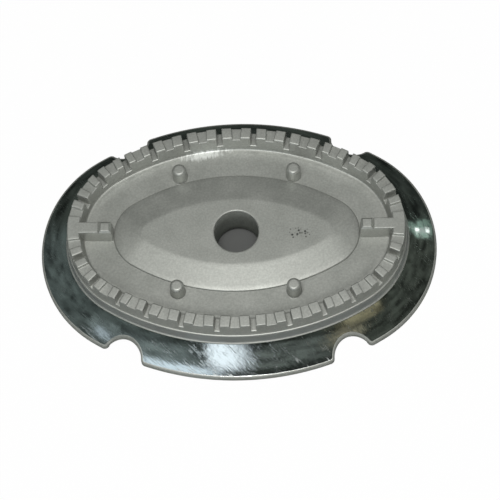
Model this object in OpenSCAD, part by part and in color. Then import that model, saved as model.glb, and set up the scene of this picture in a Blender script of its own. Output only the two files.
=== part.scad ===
// Base of an oval gas burner: one aluminium casting, with a crown of flame ports
// round its gas chamber and a polished skirt that flares out to the rim.
// Millimetres. +X is the long way, +Y is the back, and the rim stands on z = 0.
// Every contour seen from above is a parallel curve of one oval of four arcs, so
// the whole wall is a single section swept round the two ends and the two sides.

/* [Outline] */
// Overall length over the rim, along X
base_length = 240; // [228:1:256]
// Overall width over the rim, along Y
base_width = 168.7; // [163:0.1:178]
// Radius of the rim's two rounded ends
rim_end_r = 70; // [66:0.5:74]

/* [Skirt] */
// Distance from the rim in to where the flare starts
skirt_w = 17.4; // [15:0.1:19]
// Height at which the flare starts
flare_z = 16.6; // [13:0.1:19]
// Radius of the flare's hollow curve, in section
flare_r = 46; // [30:1:90]
// Height of the rim's upright edge
lip_h = 2.3; // [1.5:0.1:4]
// Radius that rounds the top of the rim's edge
bead_r = 1.3; // [1:0.1:2.4]
// How far the neck leans out between the ledge and the flare
neck_lean = 1.2; // [0.4:0.1:2]

/* [Notches] */
// Radius of the four notches in the rim
notch_r = 12; // [8:0.5:14]
// Distance between notch centres along X
notch_span_x = 138.6; // [130:0.2:146]
// Distance between notch centres along Y
notch_span_y = 142.6; // [138:0.2:148]
// Radius that rounds the tips where a notch meets the rim
notch_tip_r = 3; // [1.5:0.5:4]

/* [Crown] */
// Height of the crown's flat top
crown_z = 36.7; // [34:0.1:40]
// Distance from the rim in to the crown's outer wall
crown_setback = 20; // [18.5:0.1:22]
// Thickness of the crown at its top, which is the length of the flame ports
crown_w = 7.2; // [6:0.1:9]
// Radius that rounds the crown's outer shoulder
shoulder_r = 0.8; // [0.5:0.1:2]
// How far the outer wall leans out towards its foot
outer_lean = 0.5; // [0.2:0.1:1]
// How far the inner wall leans in towards its foot
inner_lean = 1.2; // [0.4:0.1:2]
// Fillet at the foot of the inner wall
foot_fillet = 1.2; // [0.5:0.1:2]
// Height of the ledge at the foot of the outer wall
ledge_z = 24.5; // [23:0.1:26]
// Width of that ledge
ledge_w = 0.9; // [0.5:0.1:2]

/* [Main slots] */
// Width of each main slot at its floor
slot_w = 3; // [2:0.1:4]
// Width that the slot opens to just under its rounded mouth
slot_open_w = 3.3; // [3:0.1:4.4]
// Width of each rounded edge of the mouth
slot_edge = 0.6; // [0.2:0.1:1]
// Height of the slot floor
slot_floor_z = 28.8; // [27:0.1:32]
// Spacing of the slots along each long side
side_pitch = 20.8; // [18:0.1:22]
// Slots on each half of a long side that keep this spacing
side_slots = 3; // [2:1:3]
// Slots between those and the end of the oval
corner_slots = 3; // [2:1:3]

/* [Small ports] */
// Width of each small port at the chamber
port_in_w = 4.4; // [3:0.1:5]
// Width of each small port at the outside
port_out_w = 6.1; // [5:0.1:7]
// Depth of the small ports below the top of the crown
port_depth = 2; // [1:0.1:4]
// Distance along the crown from the end of the oval to the last small port
end_port_at = 10.2; // [9:0.1:12]

/* [Chamber floor] */
// Height of the shelf inside the crown
shelf_z = 24.8; // [24:0.1:26]
// How far the foot of the mound lies from the rim, measured in
mound_in = 46.6; // [44:0.1:50]
// Distance from the foot of the mound in to the edge of its flat top
mound_slope_w = 16.6; // [12:0.1:18]
// Height of the mound above the shelf
mound_h = 2.9; // [2:0.1:4]
// Height of the small step at the foot of the mound
mound_step = 0.8; // [0.4:0.1:1.2]
// Thickness of the cast wall
wall = 3; // [2.5:0.1:3.4]

/* [Gas hole] */
// Diameter of the gas hole
hole_d = 26.4; // [20:0.1:30]
// Chamfer on the hole's top edge
hole_edge = 0.5; // [0.2:0.1:1]
// Wall of the collar round the hole, on the underside
collar_wall = 2.8; // [2:0.1:4]
// Height above the base plane at which the collar ends
collar_end_z = 2.5; // [1:0.1:8]

/* [Bridges] */
// Width of each bridge at its top
bridge_w = 7; // [5:0.1:7.1]
// Height of the bridges' flat top
bridge_z = 36.6; // [34:0.1:36.6]
// How far each side of a bridge leans out towards its foot
bridge_lean = 0.45; // [0.2:0.05:0.8]
// Rounding of a bridge's top edges
bridge_edge = 0.6; // [0.3:0.1:1]
// Length and width of the square post on the inner end of each bridge
square_w = 7.2; // [7.2:0.1:9]
// Height of the square post's top
square_z = 37.1; // [36.8:0.1:39]
// Chamfer round the top of the square post
square_edge = 1; // [0.4:0.1:1.6]
// Gap between the foot of the mound and the square post
square_gap = 0.6; // [0.4:0.1:3]

/* [Round posts] */
// Diameter of the four round posts at their shoulder
post_d = 8.4; // [6:0.1:10]
// Height of their tops
post_z = 35.6; // [32:0.1:37]
// How far each post swells towards its foot, on the radius
post_lean = 0.15; // [0.05:0.05:0.4]
// Rounding of the posts' top edge
post_edge = 1.1; // [0.4:0.1:1.6]
// Distance between post centres along X
post_span_x = 68.5; // [50:0.5:80]
// Gap between the foot of the mound and a post
post_gap = 0.3; // [0.2:0.1:2]

/* [Hidden] */
$fn = 96;
metal = [0.66, 0.67, 0.65];

// The oval: its end arcs stand on X, and its side arcs swing from far behind.
end_cx = base_length / 2 - rim_end_r;
bulge = base_width / 2 - rim_end_r;
side_cy = (end_cx * end_cx - bulge * bulge) / (2 * bulge);
reach = side_cy + bulge;
switch_a = atan2(side_cy, end_cx);

// Offsets of the section's corners from the oval's own centre line
flare_in_r = rim_end_r - skirt_w;
crown_out_r = rim_end_r - crown_setback;
crown_in_r = crown_out_r - crown_w;
crown_mid_r = crown_out_r - crown_w / 2;
foot_out_r = crown_out_r + outer_lean;
ledge_r = flare_in_r - neck_lean;
foot_in_r = crown_in_r - inner_lean;
mound_r = rim_end_r - mound_in;
plateau_r = mound_r - mound_slope_w;
plateau_z = shelf_z + mound_h;

// Arc lengths along the middle of the crown, from the Y axis to the X axis
side_run = (crown_mid_r + reach) * (90 - switch_a) * PI / 180;
quarter_run = side_run + crown_mid_r * switch_a * PI / 180;
slot_run = (side_slots - 0.5) * side_pitch;
corner_pitch = (quarter_run - end_port_at - slot_run) / (corner_slots + 0.5);

// Small values that keep cuts and joins clean. The sides are swept a hair thinner
// than the ends and run on into them, so the four sweeps overlap and never just touch.
// The cutters of the crown run past its two walls.
cut = 1;
slot_past = 4;
port_past_out = 3;
port_past_in = 2;
sink = 0.6;
core_r = 2;
tip_cross = 0.05;
seam_step = 0.01;
seam_run = 0.5;
seam_a = seam_run / (reach + crown_mid_r) * 180 / PI;
arc_steps = 4;
flare_steps = 8;
bead_a = 62;
bead_next_a = 46;
ledge_round = 0.4;
groove_wall = 2.25;
step_draft = 0.2;

// Where the flare meets the rounded edge of the rim
bead_c = [rim_end_r - bead_r, lip_h];
flare_start = [flare_in_r, flare_z];
flare_end = bead_c + bead_r * [cos(bead_a), sin(bead_a)];

// Centre of the circle of radius r through a and b, on the upper side of the chord
function arc_centre(a, b, r) =
    let (m = (a + b) / 2, d = b - a, h = norm(d) / 2)
    m + sqrt(r * r - h * h) * [-d[1], d[0]] / norm(d);

// Points on a circle about c from angle a0 to angle a1
function arc_points(c, r, a0, a1, steps) =
    [for (i = [0:steps]) let (a = a0 + (a1 - a0) * i / steps) c + r * [cos(a), sin(a)]];

flare_c = arc_centre(flare_start, flare_end, flare_r);
flare_a0 = atan2(flare_start[1] - flare_c[1], flare_start[0] - flare_c[0]);
flare_a1 = atan2(flare_end[1] - flare_c[1], flare_end[0] - flare_c[0]);

// The upper face of the section, from the plateau out to the rim
function top_points() = concat(
    [[core_r, plateau_z], [plateau_r, plateau_z],
     [mound_r - step_draft, shelf_z + mound_step], [mound_r, shelf_z]],
    arc_points([foot_in_r - foot_fillet, shelf_z + foot_fillet], foot_fillet, -90, 0, arc_steps),
    [[crown_in_r, crown_z]],
    arc_points([crown_out_r - shoulder_r, crown_z - shoulder_r], shoulder_r, 90, 0, arc_steps),
    [[foot_out_r, ledge_z + ledge_round / 2],
     [foot_out_r + ledge_w - ledge_round, ledge_z],
     [ledge_r, ledge_z - ledge_round]],
    arc_points(flare_c, flare_r, flare_a0, flare_a1, flare_steps),
    arc_points(bead_c, bead_r, bead_next_a, 0, arc_steps)
);

// The lower face, from the rim back to the plateau, one wall thickness away
function under_points() = concat(
    [[rim_end_r, 0], [rim_end_r - wall, 0]],
    arc_points(flare_c, flare_r + wall, flare_a1, flare_a0, flare_steps),
    [[ledge_r - wall, shelf_z - wall],
     [crown_out_r - groove_wall, slot_floor_z - wall],
     [foot_in_r + wall, slot_floor_z - wall],
     [foot_in_r + wall, shelf_z - wall],
     [mound_r, shelf_z - wall],
     [plateau_r, plateau_z - wall],
     [core_r, plateau_z - wall]]
);

// The whole section, pushed out by the distance to the arc's own centre
function section(shift) = [for (p = concat(top_points(), under_points())) p + [shift, 0]];

// A clockwise outline moved in by e along every edge
function inset(pts, e) =
    [for (i = [0:len(pts) - 1])
        let (n = len(pts),
             u = pts[i] - pts[(i + n - 1) % n],
             v = pts[(i + 1) % n] - pts[i],
             nu = [u[1], -u[0]] / norm(u),
             nv = [v[1], -v[0]] / norm(v))
        pts[i] + e * (nu + nv) / (1 + nu * nv)];

// Repeats a child in all four quarters
module quarters() {
    for (sx = [0, 1]) {
        for (sy = [0, 1]) {
            mirror([sx, 0, 0]) mirror([0, sy, 0]) children();
        }
    }
}

// Repeats a child at the front and the back
module front_and_back() {
    for (sy = [0, 1]) {
        mirror([0, sy, 0]) children();
    }
}

// Repeats a child at both ends
module both_ends() {
    for (sx = [0, 1]) {
        mirror([sx, 0, 0]) children();
    }
}

// Puts a child on the middle of the crown, a run away from the Y axis,
// with its own +Y pointing straight out through the crown
module on_crown(run) {
    if (run < side_run) {
        translate([0, -side_cy, 0])
            rotate([0, 0, -run / (crown_mid_r + reach) * 180 / PI])
                translate([0, crown_mid_r + reach, 0]) children();
    } else {
        translate([end_cx, 0, 0])
            rotate([0, 0, switch_a - (run - side_run) / crown_mid_r * 180 / PI - 90])
                translate([0, crown_mid_r, 0]) children();
    }
}

// One rounded end of the cast wall
module end_sweep() {
    translate([end_cx, 0, 0])
        rotate([0, 0, -switch_a])
            rotate_extrude(angle = 2 * switch_a) polygon(section(0));
}

// One long side of the cast wall, which runs on a little into both ends
module side_sweep() {
    translate([0, -side_cy, 0])
        rotate([0, 0, switch_a - seam_a])
            rotate_extrude(angle = 180 - 2 * (switch_a - seam_a))
                polygon(inset(section(reach), seam_step));
}

// The middle of the plateau, which the swept section leaves open: a lens of two
// discs, thinner than the sides by the same hair
module plateau() {
    disc_h = wall - 4 * seam_step;
    intersection() {
        disc(-side_cy, disc_h);
        disc(side_cy, disc_h);
    }
}

// A disc of the plateau about the centre of one side arc
module disc(cy, h) {
    translate([0, cy, plateau_z - wall + 2 * seam_step]) cylinder(r = reach + core_r + cut, h = h);
}

// The collar under the plateau that the gas comes up through
module collar() {
    collar_r = hole_d / 2 + collar_wall;
    translate([0, 0, collar_end_z]) cylinder(r1 = collar_r - sink, r2 = collar_r, h = sink);
    translate([0, 0, collar_end_z + sink])
        cylinder(r = collar_r, h = plateau_z - wall / 2 - collar_end_z - sink);
}

// The gas hole, with the chamfer on its top edge
module gas_hole() {
    translate([0, 0, -cut]) cylinder(d = hole_d, h = plateau_z + 2 * cut);
    translate([0, 0, plateau_z - hole_edge])
        cylinder(r1 = hole_d / 2, r2 = hole_d / 2 + hole_edge + cut, h = hole_edge + cut);
}

// A main slot, cut down through the crown, with its mouth's edges broken
module main_slot() {
    half = slot_w / 2;
    open_half = slot_open_w / 2;
    top_half = open_half + slot_edge + cut;
    rotate([90, 0, 0])
        linear_extrude(height = crown_w + 2 * slot_past, center = true)
            polygon([
                [-half, slot_floor_z], [half, slot_floor_z],
                [open_half, crown_z - slot_edge], [top_half, crown_z + cut],
                [-top_half, crown_z + cut], [-open_half, crown_z - slot_edge]
            ]);
}

// A small port: a shallow wedge across the top of the crown, wider outside
module small_port() {
    flank = (port_out_w - port_in_w) / 2 / crown_w;
    out = crown_w / 2 + port_past_out;
    back = crown_w / 2 + port_past_in;
    mid_half = (port_in_w + port_out_w) / 4;
    translate([0, 0, crown_z - port_depth])
        linear_extrude(height = port_depth + cut)
            polygon([
                [-mid_half + back * flank, -back], [mid_half - back * flank, -back],
                [mid_half + out * flank, out], [-mid_half - out * flank, out]
            ]);
}

// All main slots and small ports of the crown
module crown_cuts() {
    quarters() {
        for (i = [0:side_slots - 1]) {
            on_crown((i + 0.5) * side_pitch) main_slot();
        }
        for (i = [1:corner_slots]) {
            on_crown(slot_run + i * corner_pitch) main_slot();
        }
        for (i = [1:side_slots - 1]) {
            on_crown(i * side_pitch) small_port();
        }
        for (i = [0:corner_slots]) {
            on_crown(slot_run + (i + 0.5) * corner_pitch) small_port();
        }
    }
    front_and_back() on_crown(0) small_port();
}

// Centre of the circle that rounds one tip of a notch. The rim there is an arc of
// radius rim about c, and side says on which side of the notch the tip lies.
function tip_on(c, rim, side) =
    let (n = [notch_span_x, notch_span_y] / 2 - c,
         a = rim - notch_tip_r + tip_cross,
         b = norm(n),
         d = notch_r + notch_tip_r - tip_cross,
         turn = acos((a * a + b * b - d * d) / (2 * a * b)),
         dir = atan2(n[1], n[0]) + side * turn)
    c + a * [cos(dir), sin(dir)];

// A tip past the end of the side arc is rounded on the end arc instead
function tip_centre(side) =
    let (t = tip_on([0, -side_cy], reach + rim_end_r, side))
    atan2(t[1] + side_cy, t[0]) > switch_a ? t : tip_on([end_cx, 0], rim_end_r, side);

// Plan of the notch in the back right quarter of the rim
module notch_plan() {
    c = [notch_span_x, notch_span_y] / 2;
    away = [cos(switch_a), sin(switch_a)] * notch_r * 2;
    translate(c) circle(r = notch_r);
    for (side = [-1, 1]) {
        t = tip_centre(side);
        home = atan2(t[1] + side_cy, t[0]) > switch_a ? [0, -side_cy] : [end_cx, 0];
        difference() {
            polygon([c, t, t + (t - home) / norm(t - home) * notch_r * 2, c + away]);
            translate(t) circle(r = notch_tip_r);
        }
    }
}

// One notch, cut straight down through the skirt
module notch() {
    translate([0, 0, -cut]) linear_extrude(height = flare_z + 2 * cut) notch_plan();
}

// Half the upright section of a bridge or a square post, w wide at its top
function upright_half(w, z, top, edge) =
    [[w / 2 + bridge_lean, z], [w / 2, top - edge], [w / 2 - edge, top]];

// A whole upright section from its right half
function both_halves(half) =
    concat(half, [for (i = [len(half) - 1:-1:0]) [-half[i][0], half[i][1]]]);

// A bridge from the crown's inner wall to its square post
module bridge() {
    x0 = end_cx + mound_r + square_gap;
    x1 = end_cx + crown_mid_r;
    foot = shelf_z - sink;
    translate([x0 + square_w / 2, 0, 0])
        rotate([90, 0, 90])
            linear_extrude(height = x1 - x0 - square_w / 2)
                polygon(both_halves(upright_half(bridge_w, foot, bridge_z, bridge_edge)));
    translate([x0 + square_w / 2, 0, 0]) square_post(foot);
}

// The square post, drafted on its four sides and chamfered round its top
module square_post(foot) {
    half = upright_half(square_w, foot, square_z, square_edge);
    reach_out = square_w / 2 + bridge_lean + cut;
    intersection() {
        rotate([90, 0, 0])
            linear_extrude(height = 2 * reach_out, center = true) polygon(both_halves(half));
        rotate([90, 0, 90])
            linear_extrude(height = 2 * reach_out, center = true) polygon(both_halves(half));
    }
}

// A round post on the shelf, just outside the foot of the mound
module round_post() {
    post_r = post_d / 2;
    foot_r = post_r + post_lean;
    away = reach + mound_r + post_gap + foot_r;
    y = sqrt(away * away - post_span_x * post_span_x / 4) - side_cy;
    stem = post_z - post_edge - shelf_z + sink;
    translate([post_span_x / 2, y, shelf_z - sink]) {
        cylinder(r1 = foot_r, r2 = post_r, h = stem);
        translate([0, 0, stem]) {
            rotate_extrude() polygon(concat(
                [[0, -sink], [post_r - post_edge, -sink]],
                arc_points([post_r - post_edge, 0], post_edge, 0, 90, arc_steps),
                [[0, post_edge]]
            ));
        }
    }
}

module burner_base() {
    color(metal) {
        difference() {
            union() {
                both_ends() end_sweep();
                front_and_back() side_sweep();
                plateau();
                collar();
                both_ends() bridge();
                quarters() round_post();
            }
            gas_hole();
            crown_cuts();
            quarters() notch();
        }
    }
}

burner_base();
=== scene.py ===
# %% [markdown]
# # An oval gas burner base
#
# The real part is one aluminium die casting. A crown of flame ports runs round a shallow gas
# chamber, and below the crown a skirt flares out to a rim with four notches. The crown and the
# chamber keep the grey skin of the mould, the neck under the crown is brushed, and the skirt is
# belt polished until it mirrors.
#
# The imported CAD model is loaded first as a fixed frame. Every piece below is built in metres in
# the same frame, takes the place of the CAD node, and rides on the same body.

# %% Load the frame
import math

import bmesh
import bpy
import numpy as np
from mathutils import Matrix, Vector


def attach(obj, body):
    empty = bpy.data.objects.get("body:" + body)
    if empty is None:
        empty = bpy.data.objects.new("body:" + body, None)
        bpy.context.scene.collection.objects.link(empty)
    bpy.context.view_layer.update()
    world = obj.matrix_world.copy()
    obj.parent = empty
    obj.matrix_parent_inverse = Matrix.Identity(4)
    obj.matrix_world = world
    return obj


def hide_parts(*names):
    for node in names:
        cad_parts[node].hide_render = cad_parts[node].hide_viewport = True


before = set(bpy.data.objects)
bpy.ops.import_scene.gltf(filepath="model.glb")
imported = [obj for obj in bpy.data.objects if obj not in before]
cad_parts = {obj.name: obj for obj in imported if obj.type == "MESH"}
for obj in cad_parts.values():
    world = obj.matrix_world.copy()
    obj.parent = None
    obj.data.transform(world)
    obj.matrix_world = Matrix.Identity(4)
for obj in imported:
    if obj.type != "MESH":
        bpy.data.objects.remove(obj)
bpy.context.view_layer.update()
NODE = "burner_base"
MM = 0.001

# %% [markdown]
# Two helpers serve the whole file. One turns an sRGB hex code into the linear numbers that shaders
# work with. The other adds a node, sets it up and links it, so a node tree reads like a recipe.

# %% Colour and node helpers
def linear(code):
    """sRGB hex code to linear RGBA."""
    parts = [int(code[i:i + 2], 16) / 255 for i in (1, 3, 5)]
    return [c / 12.92 if c <= 0.04045 else ((c + 0.055) / 1.055) ** 2.4 for c in parts] + [1.0]


def add(tree, kind, settings=None, **inputs):
    """Adds a node. settings are its properties; an input is a value or an output socket to link.
    Inputs are named by their label, with _ for spaces, or by i0, i1, ... for their place."""
    node = tree.nodes.new(kind)
    for key, value in (settings or {}).items():
        setattr(node, key, value)
    for key, value in inputs.items():
        place = key[1:].isdigit() and key[0] == "i"
        socket = node.inputs[int(key[1:]) if place else key.replace("_", " ")]
        if isinstance(value, bpy.types.NodeSocket):
            tree.links.new(value, socket)
        else:
            socket.default_value = value
    return node


# %% [markdown]
# ## The oval
# Seen from above, every contour of the part is a parallel curve of one oval: two end arcs that
# stand on the X axis, and two side arcs that swing from far behind. One number, the offset r from
# the oval's own arc centres, says how far out a contour lies; the direction psi of its outward
# normal says where along it a point lies. Working in (psi, r) keeps the whole casting regular.

# %% The oval and its offsets, in millimetres
RIM_R = 70.0            # end arc radius of the rim
END_X = 50.0            # centre of the right end arc
HALF_WIDTH = 84.35      # half the width over the rim
BULGE = HALF_WIDTH - RIM_R
SIDE_Y = (END_X ** 2 - BULGE ** 2) / (2 * BULGE)
REACH = SIDE_Y + BULGE  # side arc radius less the offset
SWITCH = math.atan2(SIDE_Y, END_X)


def oval(psi, r):
    """Points of the contour at offset r whose outward normals have the angles psi."""
    c, s = np.cos(psi), np.sin(psi)
    end = np.arctan2(np.abs(s), np.abs(c)) < SWITCH
    x = np.where(end, END_X + r * np.abs(c), (r + REACH) * np.abs(c))
    y = np.where(end, r * np.abs(s), (r + REACH) * np.abs(s) - SIDE_Y)
    return np.stack([np.copysign(x, c), np.copysign(y, s)], -1)


def oval_place(p):
    """The (psi, r) of plan points p in the first quadrant."""
    x, y = p[:, 0], p[:, 1]
    end_angle = np.arctan2(y, x - END_X)
    end = end_angle < SWITCH
    psi = np.where(end, end_angle, np.arctan2(y + SIDE_Y, x))
    r = np.where(end, np.hypot(x - END_X, y), np.hypot(x, y + SIDE_Y) - REACH)
    return psi, r


print("side arc radius of the rim: %.1f mm" % (REACH + RIM_R))

# %% [markdown]
# ## The rim with its notches
# The outline of one quarter is a chain of arcs: end arc, side arc, a small tip, the notch, another
# tip, and the side arc again. Each point keeps its outward normal too, because the rounded edge of
# the rim is built square to the outline, also inside the notches.

# %% Outline of one quarter of the rim
NOTCH_R, TIP_R = 12.0, 3.0
NOTCH_AT = np.array([69.3, 71.3])
STEP = 1.3              # spacing of the columns along the plain rim
FINE_STEP = 0.6         # and along a notch


def arc(centre, radius, a0, a1, step, hollow=False):
    """Points and outward normals along an arc, without its last point."""
    count = max(2, int(round(abs(a1 - a0) * radius / step)))
    a = np.linspace(a0, a1, count, endpoint=False)
    out = np.stack([np.cos(a), np.sin(a)], -1)
    return centre + radius * out, (-out if hollow else out)


side_centre = np.array([0.0, -SIDE_Y])
rim_radius = REACH + RIM_R
to_notch = NOTCH_AT - side_centre
notch_angle = math.atan2(to_notch[1], to_notch[0])
tip_reach, notch_reach = rim_radius - TIP_R, NOTCH_R + TIP_R
tip_turn = math.acos((tip_reach ** 2 + to_notch @ to_notch - notch_reach ** 2)
                     / (2 * tip_reach * np.linalg.norm(to_notch)))
chain = [arc(np.array([END_X, 0.0]), RIM_R, 0, SWITCH, STEP),
         arc(side_centre, rim_radius, SWITCH, notch_angle - tip_turn, STEP)]
tips = [side_centre + tip_reach * np.array([math.cos(a), math.sin(a)])
        for a in (notch_angle - tip_turn, notch_angle + tip_turn)]
touch = [math.atan2(*(NOTCH_AT - t)[::-1]) for t in tips]
chain.append(arc(tips[0], TIP_R, notch_angle - tip_turn, touch[0], FINE_STEP))
chain.append(arc(NOTCH_AT, NOTCH_R, touch[0] + math.pi, touch[1] + math.pi, FINE_STEP, True))
chain.append(arc(tips[1], TIP_R, touch[1], notch_angle + tip_turn, FINE_STEP))
chain.append(arc(side_centre, rim_radius, notch_angle + tip_turn, math.pi / 2, STEP))
edge = np.concatenate([c[0] for c in chain] + [[[0.0, HALF_WIDTH]]])
edge_out = np.concatenate([c[1] for c in chain] + [[[0.0, 1.0]]])
edge_psi, edge_r = oval_place(edge)
edge_psi[-1] = math.pi / 2
print("columns in one quarter:", len(edge), " notch floor offset: %.2f mm" % edge_r.min())

# %% [markdown]
# ## The casting as one closed skin
# The wall of the casting could be a solid with cutters, but its edges would then be knife sharp and
# its shading patchy. Instead the whole section is walked once, from the gas hole over the top, down
# the rim, back along the underside and up through the collar. Each stop is a ring of points round
# the oval, and neighbouring rings are joined by quads. The last ring joins the first, so the skin
# is closed and has a true thickness everywhere.

# %% Heights and offsets of the section
PLATEAU_Z, SHELF_Z, SILL_Z, CROWN_Z, LEDGE_Z = 27.7, 24.8, 28.8, 36.7, 24.5
WALL = 3.0
HOLE_R, COLLAR_R, COLLAR_END_Z = 13.2, 16.0, 2.5
PLATEAU_R, MOUND_R, MOUND_STEP = 6.8, 23.4, 0.8
FLARE_START, FLARE_END, FLARE_R = np.array([52.6, 16.6]), np.array([69.045, 3.889]), 46.0

chord = FLARE_END - FLARE_START
half_chord = np.linalg.norm(chord) / 2
flare_mid = (FLARE_START + FLARE_END) / 2
square_to_chord = np.array([-chord[1], chord[0]]) / (2 * half_chord)
flare_c = flare_mid + math.sqrt(FLARE_R ** 2 - half_chord ** 2) * square_to_chord


def flare_z(r, thickness=0.0):
    """Height of the hollow flare at offset r, or of its underside one thickness away."""
    return flare_c[1] - np.sqrt((FLARE_R + thickness) ** 2 - (r - flare_c[0]) ** 2)


def plan_offset(points):
    """Offset r of plan points in the first quadrant."""
    return oval_place(points)[1]


print("flare: %.2f mm high at its start, %.2f mm at the rim" % (flare_z(FLARE_START[0]), flare_z(RIM_R)))

# %% [markdown]
# The rings are listed as (plan points, heights). Rings inside the neck follow the oval exactly.
# Rings on the skirt slide from the neck to the notched edge, and take their height from the flare,
# so the notches bite into one unbroken surface, as a cutter does on the real casting. Each ring also
# says which finish the faces after it have: the polishing stops where the rounded rim begins.

# %% Rings of the section
AS_CAST, POLISHED, BRUSHED = 0, 1, 2
rings, finishes = [], []


def put(points, z, finish=AS_CAST):
    """Adds a ring, with the finish of the faces between it and the next ring."""
    rings.append(np.column_stack([points, np.broadcast_to(z, len(points))]))
    finishes.append(finish)


def on_oval(*stops, finish=AS_CAST):
    """Adds rings that follow the oval, from pairs of offset and height."""
    for r, z in stops:
        put(oval(edge_psi, r), z, finish)


def round_hole(radius, z):
    """Adds a round ring about the gas hole."""
    put(np.stack([np.cos(hole_angle), np.sin(hole_angle)], -1) * radius, z)


inner_oval = oval(edge_psi, 2.0)
hole_angle = np.arctan2(inner_oval[:, 1], inner_oval[:, 0])

# %% From the gas hole over the mound and the shelf
for radius, z in ((HOLE_R, 26.9), (HOLE_R + 0.05, 27.15), (HOLE_R + 0.2, 27.45), (HOLE_R + 0.5, 27.66),
                  (HOLE_R + 0.8, PLATEAU_Z)):
    round_hole(radius, z)
ring_start = rings[-1][:, :2].copy()
for t in (0.15, 0.35, 0.6, 0.85, 1.0):
    put(ring_start * (1 - t) + inner_oval * t, PLATEAU_Z)
slope = (PLATEAU_Z - SHELF_Z - MOUND_STEP) / (MOUND_R - 0.2 - PLATEAU_R)
on_oval((4.5, PLATEAU_Z), (6.2, PLATEAU_Z), (6.55, PLATEAU_Z - 0.01), (6.9, PLATEAU_Z - 0.035),
        (7.3, PLATEAU_Z - slope * 0.5), (9.0, PLATEAU_Z - slope * 2.2), (12.5, PLATEAU_Z - slope * 5.7),
        (16.5, PLATEAU_Z - slope * 9.7), (20.0, PLATEAU_Z - slope * 13.2),
        (22.6, SHELF_Z + MOUND_STEP + slope * 0.6), (22.95, SHELF_Z + MOUND_STEP - 0.02),
        (23.2, SHELF_Z + MOUND_STEP - 0.22), (MOUND_R, SHELF_Z + 0.08), (MOUND_R + 0.1, SHELF_Z),
        (24.5, SHELF_Z), (28.0, SHELF_Z), (32.0, SHELF_Z), (34.5, SHELF_Z + 0.02), (36.5, SHELF_Z + 0.08),
        (38.2, SHELF_Z + 0.19), (39.5, SHELF_Z + 0.33))
WALL_FOOT, WALL_FOOT_R = np.array([40.4, SHELF_Z + 1.35]), 1.2
for a in np.radians((-72, -56, -38, -20, -5)):
    on_oval(WALL_FOOT + WALL_FOOT_R * np.array([math.cos(a), math.sin(a)]))

# %% Over the crown's sill, down the ledge and the neck
on_oval((41.66, 26.5), (41.86, 28.3), (41.95, 28.62), (42.2, SILL_Z - 0.02), (42.6, SILL_Z), (46.0, SILL_Z),
        (49.6, SILL_Z), (50.0, SILL_Z - 0.02), (50.25, 28.62), (50.33, 28.3), (50.42, 26.5), (50.48, 25.2),
        (50.56, 24.75), (50.75, 24.54), (51.0, LEDGE_Z), (51.25, 24.43), (51.42, 24.25))
on_oval((51.5, 23.95), (51.62, 23.3), (51.95, 21.0), (52.25, 18.6), (52.38, 17.4), finish=BRUSHED)
on_oval((52.44, 17.05), (52.6, 16.9), (52.85, 16.84), (53.02, 16.74), (53.1, 16.55))
NECK_FOOT_R = 53.16
on_oval((53.13, 16.25), (NECK_FOOT_R, flare_z(NECK_FOOT_R)), finish=POLISHED)

# %% Across the skirt and over the rounded rim
BEAD_W, BEAD_H, BEAD_RISE = 1.3, 1.2, 0.09
neck = oval(edge_psi, NECK_FOOT_R)
bead_start = edge - edge_out * (BEAD_W + 0.6)
for t in (0.04, 0.12, 0.22, 0.34, 0.46, 0.58, 0.7, 0.82, 0.92, 1.0):
    p = neck * (1 - t) + bead_start * t
    put(p, flare_z(plan_offset(p)), POLISHED)
for inward, finish in ((BEAD_W + 0.3, POLISHED), (BEAD_W + 0.1, POLISHED), (BEAD_W, AS_CAST)):
    p = edge - edge_out * inward
    put(p, flare_z(plan_offset(p)), finish)
corner_z = flare_z(edge_r)
p0 = edge - edge_out * (BEAD_W - 0.25)
z0 = flare_z(plan_offset(p0)) + BEAD_RISE
for t in (0.0, 0.14, 0.28, 0.42, 0.56, 0.7, 0.84, 0.95):
    w0, w1, w2 = (1 - t) ** 2, 2 * t * (1 - t), t * t
    put(p0 * w0 + edge * (w1 + w2), z0 * w0 + (corner_z + BEAD_RISE) * w1 + (corner_z - BEAD_H) * w2)

# %% Down the edge and back along the underside
PLAIN_RIM_R = 67.5      # past this offset the rim is plain and stands on its flat foot
on_rim = np.clip(edge_r - PLAIN_RIM_R + 1, 0, 1)
on_rim = on_rim ** 2 * (3 - 2 * on_rim)
foot_z = (1 - on_rim) * flare_z(edge_r, WALL)
put(edge, corner_z - BEAD_H - 0.25)
put(edge, foot_z + 0.3)
put(edge - edge_out * 0.08, foot_z + 0.08)
put(edge - edge_out * 0.3, foot_z)
p = edge - edge_out * (0.4 + 2.0 * on_rim)[:, None]
put(p, (1 - on_rim) * flare_z(plan_offset(p), WALL))
p = edge - edge_out * (0.5 + 2.1 * on_rim)[:, None]
put(p, flare_z(plan_offset(p), WALL))
under_neck = oval(edge_psi, 50.28)
for t in (0.15, 0.35, 0.55, 0.75, 0.9, 1.0):
    q = p * (1 - t) + under_neck * t
    put(q, flare_z(plan_offset(q), WALL))
on_oval((49.9, 15.6), (48.5, 21.2), (48.35, 22.0), (47.85, 25.4), (47.6, 25.75), (47.2, 25.8), (45.1, 25.8),
        (44.7, 25.7), (44.6, 25.3), (44.6, 22.3), (44.5, 21.9), (44.1, 21.8), (34.0, 21.8), (24.0, 21.8),
        (22.8, 21.9), (7.4, 24.6), (6.2, 24.7))
collar_ring = np.stack([np.cos(hole_angle), np.sin(hole_angle)], -1) * (COLLAR_R + 1.0)
for t in (0.1, 0.5, 0.8, 1.0):
    put(inner_oval * (1 - t) + collar_ring * t, 24.7)
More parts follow.
